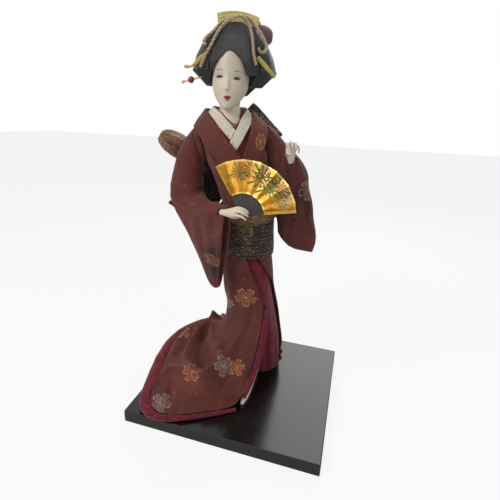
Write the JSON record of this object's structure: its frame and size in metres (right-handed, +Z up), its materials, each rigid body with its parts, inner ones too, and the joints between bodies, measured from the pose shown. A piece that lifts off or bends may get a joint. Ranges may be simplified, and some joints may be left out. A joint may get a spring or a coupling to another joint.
{
  "type": "kimono doll",
  "caption": "Display doll of a standing lady in a trained brown kimono with an obi bow, raised hand and gold folding fan, on a black lacquered board",
  "frame": {"origin": "middle of the underside of the board", "axes": "+X along the board's front edge to the viewer's right, +Y to the back, +Z up"},
  "size_m": [0.2445, 0.223, 0.4625],
  "materials": {
    "comb": "amber yellow, polished",
    "coral": "dark coral red, polished",
    "cord": "twisted metallic thread",
    "crimson": "crimson brocade",
    "fan_gold": "gold foil paper",
    "fan_wood": "black lacquered bamboo",
    "gold": "bright gilt",
    "hair": "combed black silk thread, soft sheen",
    "kimono": "crinkled crepe, reddish brown with printed blossoms",
    "lacquer": "black lacquer, satin gloss",
    "obi": "black brocade with copper thread",
    "obi_copper": "black brocade worked with copper thread",
    "purple_silk": "crepe silk, matt",
    "red_silk": "plain silk",
    "rivet": "plain",
    "scarf": "gold silk, soft sheen",
    "skin": "shell-white paint, eggshell",
    "steel": "plain drawn wire",
    "straw": "straw and wound paper, raw",
    "white_silk": "textured silk, matt"
  },
  "bodies": {
    "root": {"arm_left": "straw", "arm_right": "straw", "base_board": "lacquer", "bead_rod": "gold", "bun_ribbon": "purple_silk", "comb": "comb", "coral_bead": "coral", "fan_guard_left": "fan_wood", "fan_guard_right": "fan_wood", "fan_leaf": "fan_gold", "fan_ribs": "fan_wood", "fan_rivet": "rivet", "foot_left": "skin", "foot_right": "skin", "front_edge_roll": "crimson", "hair_back": "hair", "hair_bun": "hair", "hair_cord": "cord", "hair_cord_loops": "cord", "hair_front": "hair", "hair_wing_left": "hair", "hair_wing_right": "hair", "hairpin_left": "comb", "hairpin_right": "comb", "hand_left": "skin", "hand_right": "skin", "head": "skin", "kimono_bodice": "kimono", "kimono_collar_left": "kimono", "kimono_collar_right": "kimono", "kimono_skirt": "kimono", "leg_wire_left": "steel", "leg_wire_right": "steel", "obi_band": "obi", "obi_bow_panel": "obi", "obi_bow_roll": "obi_copper", "obi_knot": "obi", "obi_scarf": "scarf", "red_collar_edge": "red_silk", "scarf_tab": "scarf", "sleeve_left": "kimono", "sleeve_right": "kimono", "torso_core": "straw", "train_hem_roll": "crimson", "under_skirt": "crimson", "white_collar_left": "white_silk", "white_collar_right": "white_silk"}
  },
  "joints": []
}
